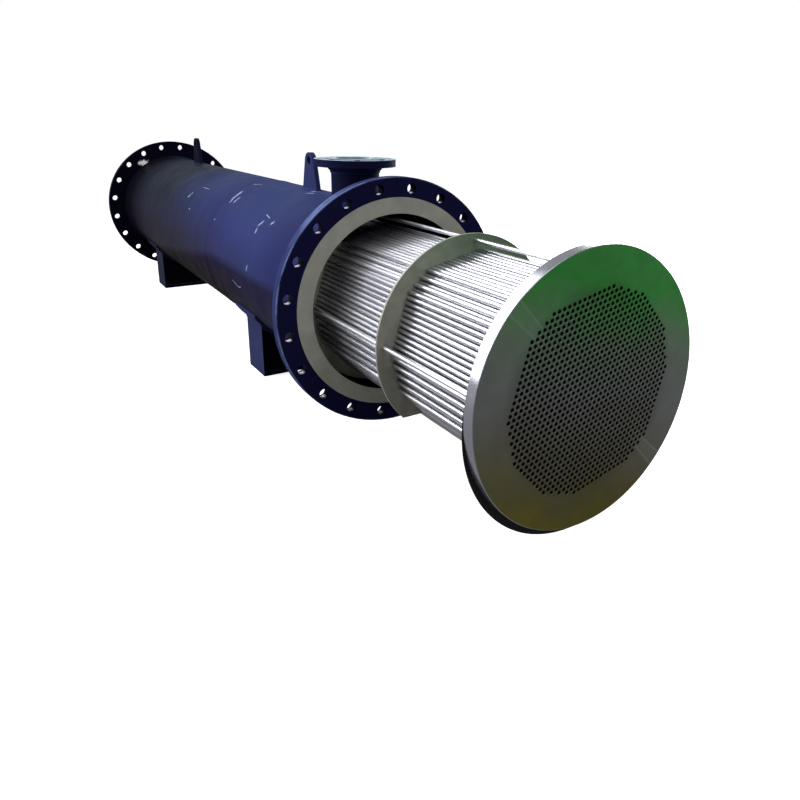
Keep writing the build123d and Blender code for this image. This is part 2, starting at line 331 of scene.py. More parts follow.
def navy_paint(name, shade=0.0):
    """Sprayed navy paint on plate and pipe, darker by a share as painted shade."""
    finish, tone, roughness, peel = navy_coat(name)
    finish.set("Base Color", finish.mix(shade, tone, PAINTED_SHADE_NAVY))
    finish.set("Roughness", roughness)
    finish.set("Normal", peel)
    return finish.material


def saddle_paint(name):
    """Navy paint, nearly black on the broad faces of the webs as painted shade."""
    finish, tone, roughness, peel = navy_coat(name)
    # Painted shade: faces that look along the shell are nearly black.
    broad = finish.remap(finish.calc("ABSOLUTE", finish.normal_x), 0.6, 0.9)
    finish.set("Base Color", finish.mix(broad, tone, srgb(8, 8, 14)))
    finish.set("Roughness", roughness)
    finish.set("Normal", peel)
    return finish.material


def scratch_marks(finish):
    """Share of bared paint at the barrel's scratches."""
    x, y, z = finish.parts(finish.shift((0, 0, -AXIS_Z)))
    rise = finish.calc("ARCTAN2", z, finish.times(y, -1.0))
    arc = finish.times(rise, BARREL_RADIUS)
    share = 0.0
    for start_x, start_rise, end_x, end_rise, half_width in SCRATCHES:
        start = Vector((start_x, math.radians(start_rise) * BARREL_RADIUS))
        end = Vector((end_x, math.radians(end_rise) * BARREL_RADIUS))
        middle = (start + end) / 2
        half_length = (end - start).length / 2
        ahead = (end - start).normalized()
        off_x = finish.minus(x, middle.x)
        off_arc = finish.minus(arc, middle.y)
        along = finish.calc(
            "ADD", finish.times(off_x, ahead.x), finish.times(off_arc, ahead.y)
        )
        across = finish.calc(
            "SUBTRACT", finish.times(off_arc, ahead.x), finish.times(off_x, ahead.y)
        )
        near = finish.remap(finish.calc("ABSOLUTE", across), half_width * 0.4, half_width, 1.0, 0.0)
        off_end = finish.calc("ABSOLUTE", along)
        within = finish.remap(off_end, half_length * 0.6, half_length * 1.1, 1.0, 0.0)
        share = finish.calc("MAXIMUM", share, finish.times(near, within))
    line = finish.add("ShaderNodeCombineXYZ", [("X", x), ("Y", finish.times(arc, 0.12))])
    inputs = [("Vector", line.outputs["Vector"]), ("Scale", 260.0), ("Detail", 3.0), ("Roughness", 0.6)]
    streaks = finish.add("ShaderNodeTexNoise", inputs).outputs["Fac"]
    return finish.times(share, finish.remap(streaks, 0.40, 0.56))


def flank_shade(finish, tone):
    """Paint of the barrel with painted shade and reflection: darker towards the front end, greyer on the
    flank of the far half, dark below with a purple tint, and dark towards the rear flange.
    """
    x, y, z = finish.parts(finish.place)
    # Painted shade: darker towards the front end.
    tone = finish.mix(finish.remap(x, 0.55, 0.95, 0.0, 0.3), tone, srgb(26, 27, 70))
    # Painted reflection: greyer on the flanks of the far half.
    grey = finish.times(finish.remap(finish.normal_z, 0.5, 0.0), finish.remap(x, 0.2, -0.6))
    tone = finish.mix(finish.times(grey, 0.7), tone, srgb(39, 37, 44))
    # Painted shade on the near lower flank, dark to nearly black below, with the purple tint of a painted
    # reflection, and lighter towards the front.
    under = finish.ramp(
        finish.remap(finish.normal_z, 0.1, -0.6),
        [
            (0.0, srgb(24, 22, 52)),
            (0.43, srgb(26, 17, 33)),
            (0.75, srgb(13, 7, 12)),
            (0.95, srgb(4, 2, 4)),
        ],
    )
    under = finish.mix(finish.times(finish.remap(x, 0.1, 0.45), 0.7), under, srgb(33, 31, 59))
    level = finish.remap(x, -1.2, 0.0, -0.48, 0.04)
    near_side = finish.remap(finish.normal_y, 0.4, -0.1)
    below = finish.remap(finish.minus(finish.normal_z, level), 0.06, -0.06, 0.0, 0.97)
    tone = finish.mix(finish.times(below, near_side), tone, under)
    # Painted shade and painted reflection of the dark rear flange: nearly black towards the rear end, on
    # the near side.
    at_rear = finish.remap(x, -1.35, -1.85, 0.0, 0.85)
    return finish.mix(finish.times(at_rear, near_side), tone, srgb(6, 5, 14))


def barrel_paint(name):
    """Navy paint outside, with painted shade and reflections on its flanks and with its scuffs, and dark
    unpainted steel inside the bore, darkened further as painted shade.
    """
    finish, tone, roughness, peel = navy_coat(name)
    tone = flank_shade(finish, tone)
    tone = finish.mix(finish.times(scratch_marks(finish), 0.75), tone, srgb(176, 186, 220))
    x, y, z = finish.parts(finish.shift((0, 0, -AXIS_Z)))
    # Painted shade: the steel inside the bore is made very dark.
    inside = finish.remap(finish.reach(y, z), BORE_RADIUS + 0.004, BORE_RADIUS + 0.006, 1.0, 0.0)
    steel = finish.mottle(finish.noise(9.0, 5.0), srgb(14, 13, 12), srgb(28, 25, 22))
    finish.set("Base Color", finish.mix(inside, tone, steel))
    finish.set("Roughness", finish.calc("MAXIMUM", roughness, finish.times(inside, 0.7)))
    finish.set("Normal", peel)
    return finish.material


def flange_paint(name, face_x, outward, shaded_face_tone, hole_glint_tone, spot_highlight, rim_highlight):
    """Navy paint, with painted shade on the flat faces and in the bolt holes, a painted glint on their
    lower walls, a paler ragged edge of paint wear that is also a painted highlight, a painted highlight on
    the front rim and on the rear flange's inner face, and grey primer on the raised face.
    """
    finish, tone, roughness, peel = navy_coat(name)
    x, y, z = finish.parts(finish.shift((0, 0, -AXIS_Z)))
    reach = finish.reach(y, z)
    facing = finish.calc("ABSOLUTE", finish.normal_x)
    # Painted shade: the flat faces take a darker navy than the rim, nearly black on the rear flange.
    flat = finish.remap(facing, 0.6, 0.9)
    tone = finish.mix(finish.times(flat, 0.97), tone, shaded_face_tone)
    depth = finish.times(finish.minus(x, face_x), outward)
    # Paler ragged ring at the outer edge of the face: paint wear, and also a painted edge highlight.
    on_edge = finish.remap(reach, FLANGE_RADIUS - 0.004, FLANGE_RADIUS - 0.002)
    at_corner = finish.remap(depth, -0.012, -0.008)
    ragged_edge = finish.remap(finish.noise(16.0), 0.3, 0.6)
    edge_wear_and_highlight = finish.times(finish.times(on_edge, at_corner), ragged_edge)
    tone = finish.mix(finish.times(edge_wear_and_highlight, 0.8), tone, srgb(112, 124, 172))
    angle = finish.calc("ARCTAN2", z, y)
    # Painted highlight on one stretch of the rim, streaked.
    off_rim_highlight = finish.calc("ABSOLUTE", finish.minus(angle, RIM_HIGHLIGHT_ANGLE))
    rim_highlight_share = finish.times(on_edge, finish.remap(off_rim_highlight, RIM_HIGHLIGHT_SPREAD, 0.4 * RIM_HIGHLIGHT_SPREAD))
    rim_highlight_share = finish.times(rim_highlight_share, finish.remap(finish.noise(30.0, 4.0, (1.0, 0.4, 0.4)), 0.32, 0.6))
    tone = finish.mix(finish.times(rim_highlight_share, rim_highlight), tone, srgb(98, 113, 160))

    on_land = finish.remap(reach, RAISED_FACE_RADIUS - 0.001, RAISED_FACE_RADIUS + 0.0005, 1.0, 0.0)
    near_face = finish.remap(depth, -0.0025, -0.001)
    land = finish.times(on_land, near_face)
    primer = finish.mottle(finish.noise(14.0, 5.0), srgb(158, 159, 148), srgb(178, 180, 169))
    # Painted shade: dark steel inside the bore, made very dark.
    inside = finish.remap(reach, BORE_RADIUS + 0.0005, BORE_RADIUS + 0.0015, 1.0, 0.0)
    inside = finish.times(inside, finish.minus(1.0, near_face))

    step = 2 * math.pi / BOLT_COUNT
    swing = finish.minus(finish.calc("FLOORED_MODULO", angle, step), step / 2)
    along = finish.minus(finish.times(reach, finish.calc("COSINE", swing)), BOLT_CIRCLE_RADIUS)
    across = finish.times(reach, finish.calc("SINE", swing))
    in_hole = finish.remap(
        finish.reach(along, across), BOLT_HOLE_RADIUS + 0.0003, BOLT_HOLE_RADIUS + 0.0009, 1.0, 0.0
    )
    # Painted shade and glint in the bolt holes: dark walls, with a painted glint on the upward-facing lower
    # wall.
    hole_glint = finish.times(finish.remap(finish.normal_z, 0.7, 0.95), finish.remap(depth, -0.034, -0.028))
    hole_glint = finish.times(hole_glint, finish.remap(depth, -0.008, -0.014))
    hole_wall_tone = finish.mix(hole_glint, srgb(12, 10, 30), hole_glint_tone)

    # Painted highlight: a pale ragged spot on the rear flange's inner face.
    spot_y = finish.minus(y, PALE_HIGHLIGHT_SPOT[0])
    spot_z = finish.times(finish.minus(z, PALE_HIGHLIGHT_SPOT[1]), PALE_HIGHLIGHT_FLATNESS)
    ragged = finish.remap(finish.noise(48.0, 3.0), 0.3, 0.7, -0.4 * PALE_HIGHLIGHT_RADIUS, 0.4 * PALE_HIGHLIGHT_RADIUS)
    spot = finish.plus(finish.reach(spot_y, spot_z), ragged)
    spot_highlight_share = finish.times(finish.remap(spot, PALE_HIGHLIGHT_RADIUS, 0.5 * PALE_HIGHLIGHT_RADIUS), spot_highlight)
    tone = finish.mix(spot_highlight_share, tone, srgb(240, 239, 238))
    tone = finish.mix(land, tone, primer)
    tone = finish.mix(inside, tone, srgb(18, 16, 15))
    finish.set("Base Color", finish.mix(in_hole, tone, hole_wall_tone))
    finish.set("Roughness", finish.calc("MAXIMUM", roughness, finish.times(land, 0.62)))
    grooves = finish.calc("SINE", finish.times(reach, 2 * math.pi / LAND_GROOVE))
    finish.set("Normal", finish.bump(finish.times(grooves, land), 0.0002, 0.4, peel))
    return finish.material


def nozzle_paint(name):
    """Navy paint darkened as painted shade, with the gasket face of the nozzle left as pale turned metal.
    """
    finish, tone, roughness, peel = navy_coat(name)
    x, y, z = finish.parts(finish.shift((-NOZZLE_X, 0, -NOZZLE_HIGH.z)))
    reach = finish.reach(x, y)
    # Painted shade: the nozzle is darker than the other paint.
    tone = finish.mix(0.6, tone, PAINTED_SHADE_NAVY)
    top = finish.times(finish.remap(finish.normal_z, 0.6, 0.9), finish.remap(z, -0.006, -0.004))
    in_bore = finish.remap(reach, NOZZLE_BORE + 0.001, NOZZLE_BORE + 0.002, 1.0, 0.0)
    top = finish.calc("MAXIMUM", top, in_bore)
    metal = finish.mottle(finish.noise(20.0, 4.0), srgb(145, 166, 180), srgb(178, 196, 210))
    finish.set("Base Color", finish.mix(top, tone, metal))
    finish.set("Metallic", finish.times(top, 0.7))
    finish.set("Roughness", roughness)
    grooves = finish.calc("SINE", finish.times(reach, 2 * math.pi / NOZZLE_GROOVE))
    finish.set("Normal", finish.bump(finish.times(grooves, top), 0.0002, 0.4, peel))
    return finish.material


def turning_sheen(finish, y, z, reach):
    """Share of a painted sheen: a pale sector, with brighter sides, left and right, where a turned disc
    reflects light.
    """
    from_sheen = finish.minus(finish.calc("ARCTAN2", z, y), SHEEN_ANGLE - math.pi / 2)
    swing = finish.minus(finish.calc("FLOORED_MODULO", from_sheen, math.pi), math.pi / 2)
    off_middle = finish.calc("ABSOLUTE", swing)
    sector = finish.remap(off_middle, SHEEN_HALF_ANGLE, SHEEN_HALF_ANGLE * 1.3, 1.0, 0.0)
    off_side = finish.calc("ABSOLUTE", finish.minus(off_middle, SHEEN_HALF_ANGLE))
    sides = finish.remap(off_side, 0.0, SHEEN_HALF_ANGLE * 0.25, 1.0, 0.0)
    share = finish.plus(finish.times(sector, 0.06), finish.times(sides, 0.16))
    return finish.times(share, finish.remap(reach, SHEET_RADIUS * 0.55, SHEET_RADIUS * 0.75))


def tubesheet_steel(name):
    """Machined plate: dark face, olive towards the bottom and green towards the top as painted reflections,
    and a bright turned rim.
    """
    finish = Finish(name, Metallic=0.85, Specular_IOR_Level=0.2, Anisotropic=0.5)
    x, y, z = finish.parts(finish.shift((0, 0, -BUNDLE_Z)))
    around = finish.add("ShaderNodeCombineXYZ", [("Y", finish.times(z, -1.0)), ("Z", y)])
    finish.set("Tangent", around.outputs["Vector"])
    reach = finish.reach(y, z)
    # Painted reflection: olive towards the bottom, grey in the middle, green towards the top.
    height = finish.plus(finish.times(y, 0.24), finish.times(z, 0.94))
    wander = finish.remap(finish.noise(3.0, 3.0), 0.3, 0.7, -0.05, 0.05)
    level = finish.remap(finish.plus(height, wander), -SHEET_RADIUS, SHEET_RADIUS)
    face = finish.ramp(
        level,
        [
            (0.0, srgb(134, 126, 35)),
            (0.10, srgb(117, 112, 66)),
            (0.30, srgb(118, 117, 102)),
            (0.48, srgb(130, 134, 135)),
            (0.66, srgb(126, 150, 126)),
            (0.84, srgb(74, 180, 82)),
            (1.0, srgb(88, 188, 97)),
        ],
    )
    face = finish.mix(finish.remap(finish.normal_x, 0.3, 0.7), srgb(130, 134, 135), face)
    smear = finish.remap(finish.noise(18.0, 5.0), 0.3, 0.75)
    face = finish.mix(finish.times(smear, 0.25), face, srgb(81, 83, 83))
    drilled = finish.remap(reach, FIELD_RADIUS, FIELD_RADIUS - 0.03, 0.0, 0.3)
    face = finish.mix(drilled, face, srgb(58, 61, 54))
    # Painted highlight: the sheen sectors of the turned face.
    face = finish.mix(turning_sheen(finish, y, z, reach), face, srgb(196, 204, 200))
    rim = finish.remap(finish.calc("ABSOLUTE", finish.normal_x), 0.75, 0.95, 1.0, 0.0)
    rim = finish.times(rim, finish.remap(reach, SHEET_RADIUS - 0.004, SHEET_RADIUS - 0.003))
    finish.set("Base Color", finish.mix(rim, face, srgb(154, 156, 166)))
    rough = finish.remap(finish.noise(40.0, 4.0), 0.3, 0.7, 0.3, 0.42)
    finish.set("Roughness", finish.times(rough, finish.remap(rim, 0.0, 1.0, 1.0, 0.5)))
    grooves = finish.calc("SINE", finish.times(reach, 2 * math.pi / SHEET_GROOVE))
    finish.set("Normal", finish.bump(grooves, 0.0001, 0.18))
    return finish.material


def tube_steel(name):
    """Bright drawn tube, each a little different, with fine marks along it, and painted light between the
    mouth and the first baffle.
    """
    finish = Finish(name, Metallic=0.9)
    tone = finish.add("ShaderNodeAttribute", attribute_name="tone").outputs["Fac"]
    draw = finish.noise(90.0, 3.0, (0.02, 1, 1))
    shade = finish.plus(finish.times(tone, 0.6), finish.times(draw, 0.4))
    colour = finish.ramp(shade, [(0.15, srgb(150, 151, 159)), (0.85, srgb(204, 205, 213))])
    x, y, z = finish.parts(finish.place)
    # Painted light: tubes are brighter between the mouth and the first baffle.
    brighter = finish.remap(x, MOUTH_X + 0.03, MOUTH_X + 0.16, 0.0, 0.35)
    brighter = finish.times(brighter, finish.remap(x, FIRST_BAFFLE_X - 0.004, FIRST_BAFFLE_X, 1.0, 0.0))
    colour = finish.mix(brighter, colour, srgb(240, 241, 249))
    finish.set("Base Color", colour)
    finish.set("Roughness", finish.remap(draw, 0.3, 0.7, 0.24, 0.38))
    finish.set("Normal", finish.bump(draw, 0.0001, 0.2))
    return finish.material


def tube_bore(name):
    """Dull dark inside of the tubes."""
    finish = Finish(name, Specular_IOR_Level=0.1)
    film = finish.noise(50.0, 4.0)
    finish.set("Base Color", finish.mottle(film, srgb(16, 16, 15), srgb(34, 33, 30)))
    finish.set("Roughness", finish.remap(film, 0.3, 0.7, 0.6, 0.8))
    return finish.material


def baffle_steel(name):
    """Mill plate: olive-grey faces, greener at the top as a painted reflection, and a bright cut edge."""
    finish = Finish(name, Metallic=0.35)
    x, y, z = finish.parts(finish.shift((0, 0, -BUNDLE_Z)))
    # Painted reflection: greener towards the top.
    height = finish.plus(finish.times(y, 0.5), finish.times(z, 0.86))
    level = finish.remap(height, -BORE_RADIUS, BORE_RADIUS)
    face = finish.ramp(
        level,
        [
            (0.0, srgb(144, 141, 132)),
            (0.5, srgb(176, 177, 161)),
            (0.72, srgb(156, 167, 145)),
            (1.0, srgb(102, 136, 100)),
        ],
    )
    face = finish.mix(finish.remap(finish.normal_x, 0.3, 0.7), srgb(160, 161, 150), face)
    scale = finish.remap(finish.noise(24.0, 5.0), 0.35, 0.7)
    face = finish.mix(finish.times(scale, 0.3), face, srgb(86, 84, 74))
    edge = finish.remap(finish.calc("ABSOLUTE", finish.normal_x), 0.3, 0.6, 1.0, 0.0)
    finish.set("Base Color", finish.mix(edge, face, srgb(150, 150, 143)))
    finish.set("Roughness", finish.remap(finish.noise(30.0, 3.0), 0.3, 0.7, 0.36, 0.5))
    finish.set("Normal", finish.bump(finish.noise(120.0, 3.0), 0.0002, 0.2))
    return finish.material


def gasket_sheet(name):
    """Black fibre gasket sheet."""
    finish = Finish(name, Specular_IOR_Level=0.25)
    fibre = finish.noise(160.0, 4.0, (1, 1, 1), 0.7)
    finish.set("Base Color", finish.ramp(fibre, [(0.35, srgb(14, 14, 15)), (0.7, srgb(34, 33, 33))]))
    finish.set("Roughness", finish.remap(fibre, 0.3, 0.7, 0.62, 0.85))
    finish.set("Normal", finish.bump(fibre, 0.0004, 0.4))
    return finish.material


def floor_finish(name):
    """Pale studio floor that stays white to the camera where no shadow falls."""
    finish = Finish(name, Roughness=0.9, Specular_IOR_Level=0.0)
    grain = finish.noise(40.0, 3.0)
    pale = finish.mottle(grain, (0.86, 0.86, 0.86, 1), (0.90, 0.90, 0.90, 1))
    glow = finish.add("ShaderNodeLightPath").outputs["Is Camera Ray"]
    finish.set("Base Color", finish.mix(glow, (0.36, 0.36, 0.36, 1), pale))
    finish.set("Emission Color", (1, 1, 1, 1))
    finish.set("Emission Strength", finish.times(glow, 0.80))
    return finish.material


def new_piece(name, points, faces, material, body, smooth_degrees=35):
    """A mesh piece in the frame's own metres, riding on a body."""
    mesh = bpy.data.meshes.new(name)
    mesh.from_pydata([tuple(point) for point in points], [], faces)
    mesh.update()
    mesh.shade_smooth()
    mesh.set_sharp_from_angle(angle=math.radians(smooth_degrees))
    mesh.materials.append(material)
    piece = bpy.data.objects.new(name, mesh)
    bpy.context.scene.collection.objects.link(piece)
    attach(piece, body)
    return piece


def set_tones(piece, tones):
    """Store a tone for each point of a piece, for the tube steel to read."""
    attribute = piece.data.attributes.new("tone", "FLOAT", "POINT")
    attribute.data.foreach_set("value", tones)


def in_field(u, v):
    """True where the field has a tube, counted in pitches along two row directions."""
    in_rows = abs(u) <= ROW_COUNT and abs(v) <= ROW_COUNT and abs(u + v) <= LONG_ROW_COUNT
    return in_rows and all(abs(steps) <= HALF_PITCH_COUNT for steps in (2 * u + v, 2 * v + u, u - v))


def field_point(u, v):
    """Offset in Y and Z of a tube place from the bundle axis."""
    along = (u + v / 2) * TUBE_PITCH
    across = v * ROW_STEP
    turn_cos, turn_sin = math.cos(FIELD_TURN), math.sin(FIELD_TURN)
    return np.array((along * turn_cos - across * turn_sin, along * turn_sin + across * turn_cos))


def nearest_count(point):
    """The tube place whose six-sided cell holds a point."""
    turn_cos, turn_sin = math.cos(FIELD_TURN), math.sin(FIELD_TURN)
    v = (point[1] * turn_cos - point[0] * turn_sin) / ROW_STEP
    u = (point[0] * turn_cos + point[1] * turn_sin) / TUBE_PITCH - v / 2
    whole = [round(u), round(v), round(-u - v)]
    misses = [abs(whole[0] - u), abs(whole[1] - v), abs(whole[2] + u + v)]
    worst = misses.index(max(misses))
    if worst == 0:
        whole[0] = -whole[1] - whole[2]
    elif worst == 1:
        whole[1] = -whole[0] - whole[2]
    return whole[0], whole[1]


COUNT_RANGE = range(-LONG_ROW_COUNT, LONG_ROW_COUNT + 1)
FIELD_PLACES = [field_point(u, v) for u in COUNT_RANGE for v in COUNT_RANGE if in_field(u, v)]


def node_middle(node):
    """Middle of a node in Y and Z, as an offset from the bundle axis."""
    low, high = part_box(node)
    return np.array(((low.y + high.y) / 2, (low.z + high.z) / 2 - BUNDLE_Z))


class PlatePattern:
    """Flat layout of a drilled plate: points that can move with their hole or rim, faces, and loops."""

    def __init__(self, hole_sides, rod_places):
        self.hole_sides = hole_sides
        self.anchors, self.directions, self.kinds = [], [], []
        self.faces, self.loops = [], []
        outline = self.lay_cells()
        rim = self.lay_circle(np.zeros(2), RIM_SIDES, POINT_RIM)
        rods = [self.lay_circle(place, ROD_HOLE_SIDES, POINT_ROD) for place in rod_places]
        self.fill_margin(outline, rim, rods, rod_places)
        self.anchors = np.array(self.anchors)
        self.directions = np.array(self.directions)
        self.kinds = np.array(self.kinds)

    def add_point(self, anchor, direction, kind):
        self.anchors.append(anchor)
        self.directions.append(direction)
        self.kinds.append(kind)
        return len(self.anchors) - 1

    def lay_circle(self, centre, sides, kind):
        angles = [FIELD_TURN + math.radians(30) + side * 2 * math.pi / sides for side in range(sides)]
        loop = [self.add_point(centre, (math.cos(a), math.sin(a)), kind) for a in angles]
        self.loops.append((kind, loop))
        return loop

    def lay_cells(self):
        """Faces between each tube hole and its six-sided cell; returns the field's outline edges."""
        shared = {}
        counts = {}
        steps = self.hole_sides // 6
        corner_reach = TUBE_PITCH / math.sqrt(3)
        corner_angles = [FIELD_TURN + math.radians(30 + 60 * k) for k in range(7)]
        corners = [corner_reach * np.array((math.cos(a), math.sin(a))) for a in corner_angles]
        ring = []
        for corner, following in zip(corners, corners[1:]):
            ring += [corner + (following - corner) * step / steps for step in range(steps)]
        for place in FIELD_PLACES:
            edge = []
            for offset in ring:
                point = place + offset
                key = (round(point[0], 6), round(point[1], 6))
                if key not in shared:
                    shared[key] = self.add_point(point, (0.0, 0.0), POINT_FIXED)
                edge.append(shared[key])
            loop = self.lay_circle(place, self.hole_sides, POINT_HOLE)
            for side in range(self.hole_sides):
                after = (side + 1) % self.hole_sides
                self.faces.append((loop[side], edge[side], edge[after], loop[after]))
                pair = tuple(sorted((edge[side], edge[after])))
                counts[pair] = counts.get(pair, 0) + 1
        return [pair for pair, count in counts.items() if count == 1]

    def fill_margin(self, outline, rim, rods, rod_places):
        """Triangles between the field's outline, the rod holes and the rim."""
        used = sorted({index for pair in outline for index in pair}) + rim
        used += [index for loop in rods for index in loop]
        radii = {POINT_FIXED: 0.0, POINT_RIM: SHEET_RADIUS, POINT_ROD: ROD_RADIUS}
        flat = []
        for index in used:
            reach = radii[self.kinds[index]]
            flat.append(Vector(np.array(self.anchors[index]) + reach * np.array(self.directions[index])))
        order = {index: number for number, index in enumerate(used)}
        edges = [(order[a], order[b]) for a, b in outline]
        for loop in [rim, *rods]:
            edges += [(order[a], order[b]) for a, b in zip(loop, loop[1:] + loop[:1])]
        points, _, triangles, origins, _, _ = delaunay_2d_cdt(flat, edges, [], 0, 1e-7)
        for triangle in triangles:
            middle = sum((points[corner] for corner in triangle), Vector((0, 0))) / 3
            in_rod = any((middle - Vector(place)).length < ROD_RADIUS for place in rod_places)
            if in_rod or in_field(*nearest_count(middle)):
                continue
            a, b, c = (points[corner] for corner in triangle)
            corners = [used[origins[corner][0]] for corner in triangle]
            if (b - a).cross(c - a) < 0:
                corners.reverse()
            self.faces.append(tuple(corners))

    def solid(self, profiles):
        """Points and faces of a plate; each kind of point has (x, radius) stations from back to front."""
        points, faces, columns = [], [], []
        for anchor, direction, kind in zip(self.anchors, self.directions, self.kinds):
            column = []
            for x, radius in profiles[kind]:
                y, z = anchor + radius * direction
                column.append(len(points))
                points.append((x, y, z + BUNDLE_Z))
            columns.append(column)
        faces += [tuple(columns[corner][0] for corner in reversed(face)) for face in self.faces]
        faces += [tuple(columns[corner][-1] for corner in face) for face in self.faces]
        for kind, loop in self.loops:
            for a, b in zip(loop, loop[1:] + loop[:1]):
                if kind != POINT_RIM:
                    a, b = b, a
                for here in range(len(profiles[kind]) - 1):
                    there = here + 1
                    faces.append((columns[a][here], columns[b][here], columns[b][there], columns[a][there]))
        return points, faces


def rod_radius():
    low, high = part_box(ROD_NAMES[0])
    return (high.y - low.y) / 2


ROD_RADIUS = rod_radius()


def rim_stations(start, end, rim, edge):
    """Stations of a chamfered rim, from the back of a plate to its front."""
    return [(start, rim - edge), (start + edge, rim), (end - edge, rim), (end, rim - edge)]


def make_tubesheets(material):
    """Both tubesheets, drilled for every tube."""
    pattern = PlatePattern(SHEET_HOLE_SIDES, [])
    hole = TUBE_RADIUS + SHEET_HOLE_GAP
    wide = hole + SHEET_HOLE_CHAMFER
    for node, low, high in (
        ("front_tubesheet", SHEET_LOW, SHEET_HIGH),
        ("rear_tubesheet", REAR_SHEET_LOW, REAR_SHEET_HIGH),
    ):
        rim = (high.y - low.y) / 2
        edge = SHEET_RIM_CHAMFER
        chamfer = SHEET_HOLE_CHAMFER
        profiles = {
            POINT_FIXED: [(low.x, 0.0), (high.x, 0.0)],
            POINT_HOLE: [(low.x, wide), (low.x + chamfer, hole), (high.x - chamfer, hole), (high.x, wide)],
            POINT_RIM: rim_stations(low.x, high.x, rim, edge),
        }
        points, faces = pattern.solid(profiles)
        piece = new_piece(f"{node}_drilled", points, faces, material, "bundle", 30)
        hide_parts(node)


def cut_plate(piece, height, side):
    """Cut away a plate beyond a level line, on one side, and close the cut."""
    mesh = bmesh.new()
    mesh.from_mesh(piece.data)
    geometry = mesh.verts[:] + mesh.edges[:] + mesh.faces[:]
    found = bmesh.ops.bisect_plane(
        mesh,
        geom=geometry,
        dist=1e-7,
        plane_co=(0, 0, height),
        plane_no=(0, 0, side),
        clear_outer=True,
    )
    edges = [item for item in found["geom_cut"] if isinstance(item, bmesh.types.BMEdge)]
    bmesh.ops.holes_fill(mesh, edges=edges, sides=0)
    mesh.to_mesh(piece.data)
    mesh.free()
    piece.data.shade_smooth()
    piece.data.set_sharp_from_angle(angle=math.radians(30))


def make_baffles(material):
    """Segmental baffles, drilled for every tube and rod, cut at bottom or top as their nodes are."""
    pattern = PlatePattern(BAFFLE_HOLE_SIDES, [node_middle(rod) for rod in ROD_NAMES])
    hole = TUBE_RADIUS + BAFFLE_HOLE_GAP
    rod_hole = ROD_RADIUS + ROD_HOLE_GAP
    for number in range(1, BAFFLE_COUNT + 1):
        node = f"baffle_{number}"
        low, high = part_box(node)
        rim = (high.y - low.y) / 2
        edge = BAFFLE_RIM_CHAMFER
        profiles = {
            POINT_FIXED: [(low.x, 0.0), (high.x, 0.0)],
            POINT_HOLE: [(low.x, hole), (high.x, hole)],
            POINT_ROD: [(low.x, rod_hole), (high.x, rod_hole)],
            POINT_RIM: rim_stations(low.x, high.x, rim, edge),
        }
        points, faces = pattern.solid(profiles)
        piece = new_piece(f"{node}_drilled", points, faces, material, "bundle", 30)
        cut_at_bottom = BUNDLE_Z - low.z < high.z - BUNDLE_Z
        if cut_at_bottom:
            cut_plate(piece, low.z, -1)
        else:
            cut_plate(piece, high.z, 1)
        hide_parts(node)


def make_tubes(steel, end_face, bore):
    """Every tube of the field, hollow, in six groups around the axis, faced off with the sheets."""
    start_x = REAR_SHEET_LOW.x + TUBE_END_SETBACK
    end_x = SHEET_HIGH.x - TUBE_END_SETBACK
    sides = np.arange(TUBE_SIDES) * 2 * math.pi / TUBE_SIDES
    circle = np.stack((np.cos(sides), np.sin(sides)), axis=1)
    stations = (
        (start_x, TUBE_RADIUS),
        (end_x, TUBE_RADIUS),
        (end_x, TUBE_RADIUS - TUBE_WALL),
        (start_x, TUBE_RADIUS - TUBE_WALL),
    )
    draw = random.Random(11)
    groups = {name: [] for name in SECTOR_NAMES}
    for place in FIELD_PLACES:
        turn = math.atan2(place[1], place[0]) % (2 * math.pi)
        groups[SECTOR_NAMES[int(turn / (2 * math.pi) * len(SECTOR_NAMES))]].append(place)
    for name, places in groups.items():
        points, faces, tones, finishes = [], [], [], []
        for place in places:
            base = len(points)
            tones += [draw.random()] * (TUBE_SIDES * len(stations))
            for x, radius in stations:
                points += [(x, place[0] + radius * c, place[1] + radius * s + BUNDLE_Z) for c, s in circle]
            for ring in range(len(stations)):
                here = base + ring * TUBE_SIDES
                there = base + (ring + 1) % len(stations) * TUBE_SIDES
                for side in range(TUBE_SIDES):
                    after = (side + 1) % TUBE_SIDES
                    faces.append((here + side, here + after, there + after, there + side))
                finishes += [TUBE_FINISHES[ring]] * TUBE_SIDES
        piece = new_piece(f"tube_bank_{name}", points, faces, steel, "bundle", 40)
        piece.data.materials.append(end_face)
        piece.data.materials.append(bore)
        piece.data.polygons.foreach_set("material_index", finishes)
        set_tones(piece, tones)
        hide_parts(f"tubes_{name}")


def turned(profile, centre, sides):
    """Points and faces of a solid turned about a line along X: its profile is (x, radius), end to end."""
    points, faces = [], []
    for x, radius in profile:
        for side in range(sides):
            angle = 2 * math.pi * side / sides
            points.append((x, centre[0] + radius * math.cos(angle), centre[1] + radius * math.sin(angle)))
    for ring in range(len(profile) - 1):
        for side in range(sides):
            after = (side + 1) % sides
            here, there = ring * sides, (ring + 1) * sides
            faces.append((here + side, here + after, there + after, there + side))
    faces.append(tuple(reversed(range(sides))))
    faces.append(tuple(range((len(profile) - 1) * sides, len(profile) * sides)))
    return points, faces


